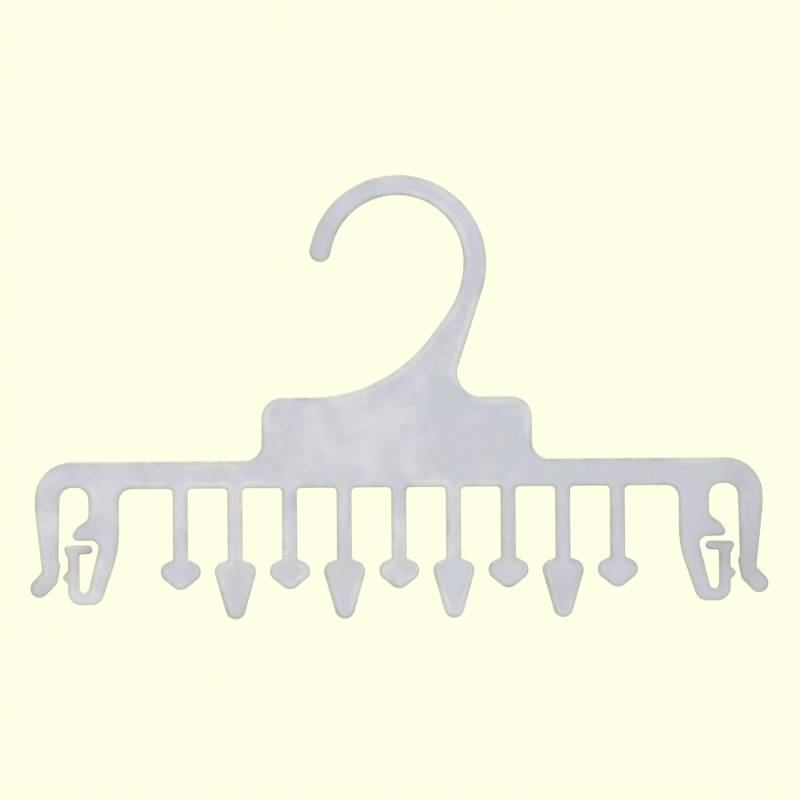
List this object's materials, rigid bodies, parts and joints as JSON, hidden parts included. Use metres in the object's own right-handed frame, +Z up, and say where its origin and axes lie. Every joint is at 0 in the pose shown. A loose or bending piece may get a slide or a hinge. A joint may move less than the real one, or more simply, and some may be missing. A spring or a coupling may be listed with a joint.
{
  "type": "delicates hanger",
  "caption": "Flat milky plastic hanger for delicates, with a rail hook, a label plate, barbed teeth under the bar and a spring clip at each end.",
  "frame": {"origin": "crown of the hook's inside, in the middle of the sheet, where the rail bears", "axes": "+X along the crossbar, away from the hook's open side; +Y through the sheet, from front to back; +Z up"},
  "size_m": [0.254, 0.003, 0.1526],
  "materials": {
    "milky_plastic": "satin, milky translucent polypropylene as moulded"
  },
  "bodies": {
    "hanger_frame": {"hook_bow": "milky_plastic", "hook_neck": "milky_plastic", "label_plate": "milky_plastic", "crossbar": "milky_plastic", "clip_left_shoulder": "milky_plastic", "clip_left_post": "milky_plastic", "clip_left_bend": "milky_plastic", "clip_right_shoulder": "milky_plastic", "clip_right_post": "milky_plastic", "clip_right_bend": "milky_plastic"},
    "left_arm": {"clip_left_arm": "milky_plastic"},
    "left_tongue": {"clip_left_tongue": "milky_plastic"},
    "right_arm": {"clip_right_arm": "milky_plastic"},
    "right_tongue": {"clip_right_tongue": "milky_plastic"},
    "tooth_1": {"tooth_1": "milky_plastic"},
    "tooth_2": {"tooth_2": "milky_plastic"},
    "tooth_3": {"tooth_3": "milky_plastic"},
    "tooth_4": {"tooth_4": "milky_plastic"},
    "tooth_5": {"tooth_5": "milky_plastic"},
    "tooth_6": {"tooth_6": "milky_plastic"},
    "tooth_7": {"tooth_7": "milky_plastic"},
    "tooth_8": {"tooth_8": "milky_plastic"},
    "tooth_9": {"tooth_9": "milky_plastic"}
  },
  "joints": [
    {"name": "left_arm_flex", "type": "hinge", "parent": "hanger_frame", "child": "left_arm", "pos_m": [-0.12095, 0, -0.10525], "axis": [0, 1, 0], "range_deg": [-2, 6], "stiffness_Nm_per_rad": 5},
    {"name": "right_arm_flex", "type": "hinge", "parent": "hanger_frame", "child": "right_arm", "pos_m": [0.12095, 0, -0.10525], "axis": [0, -1, 0], "range_deg": [-2, 6], "stiffness_Nm_per_rad": 5},
    {"name": "left_tongue_flex", "type": "hinge", "parent": "hanger_frame", "child": "left_tongue", "pos_m": [-0.112, 0, -0.1341], "axis": [0, 1, 0], "range_deg": [-1.5, 4], "stiffness_Nm_per_rad": 1.5},
    {"name": "right_tongue_flex", "type": "hinge", "parent": "hanger_frame", "child": "right_tongue", "pos_m": [0.112, 0, -0.1341], "axis": [0, -1, 0], "range_deg": [-1.5, 4], "stiffness_Nm_per_rad": 1.5},
    {"name": "tooth_1_flex", "type": "hinge", "parent": "hanger_frame", "child": "tooth_1", "pos_m": [-0.0752, 0, -0.10085], "axis": [1, 0, 0], "range_deg": [-8, 8], "stiffness_Nm_per_rad": 1.6},
    {"name": "tooth_2_flex", "type": "hinge", "parent": "hanger_frame", "child": "tooth_2", "pos_m": [-0.0564, 0, -0.10085], "axis": [1, 0, 0], "range_deg": [-8, 8], "stiffness_Nm_per_rad": 1.6},
    {"name": "tooth_3_flex", "type": "hinge", "parent": "hanger_frame", "child": "tooth_3", "pos_m": [-0.0376, 0, -0.10085], "axis": [1, 0, 0], "range_deg": [-8, 8], "stiffness_Nm_per_rad": 1.6},
    {"name": "tooth_4_flex", "type": "hinge", "parent": "hanger_frame", "child": "tooth_4", "pos_m": [-0.0188, 0, -0.10085], "axis": [1, 0, 0], "range_deg": [-8, 8], "stiffness_Nm_per_rad": 1.6},
    {"name": "tooth_5_flex", "type": "hinge", "parent": "hanger_frame", "child": "tooth_5", "pos_m": [0, 0, -0.10085], "axis": [1, 0, 0], "range_deg": [-8, 8], "stiffness_Nm_per_rad": 1.6},
    {"name": "tooth_6_flex", "type": "hinge", "parent": "hanger_frame", "child": "tooth_6", "pos_m": [0.0188, 0, -0.10085], "axis": [1, 0, 0], "range_deg": [-8, 8], "stiffness_Nm_per_rad": 1.6},
    {"name": "tooth_7_flex", "type": "hinge", "parent": "hanger_frame", "child": "tooth_7", "pos_m": [0.0376, 0, -0.10085], "axis": [1, 0, 0], "range_deg": [-8, 8], "stiffness_Nm_per_rad": 1.6},
    {"name": "tooth_8_flex", "type": "hinge", "parent": "hanger_frame", "child": "tooth_8", "pos_m": [0.0564, 0, -0.10085], "axis": [1, 0, 0], "range_deg": [-8, 8], "stiffness_Nm_per_rad": 1.6},
    {"name": "tooth_9_flex", "type": "hinge", "parent": "hanger_frame", "child": "tooth_9", "pos_m": [0.0752, 0, -0.10085], "axis": [1, 0, 0], "range_deg": [-8, 8], "stiffness_Nm_per_rad": 1.6}
  ]
}
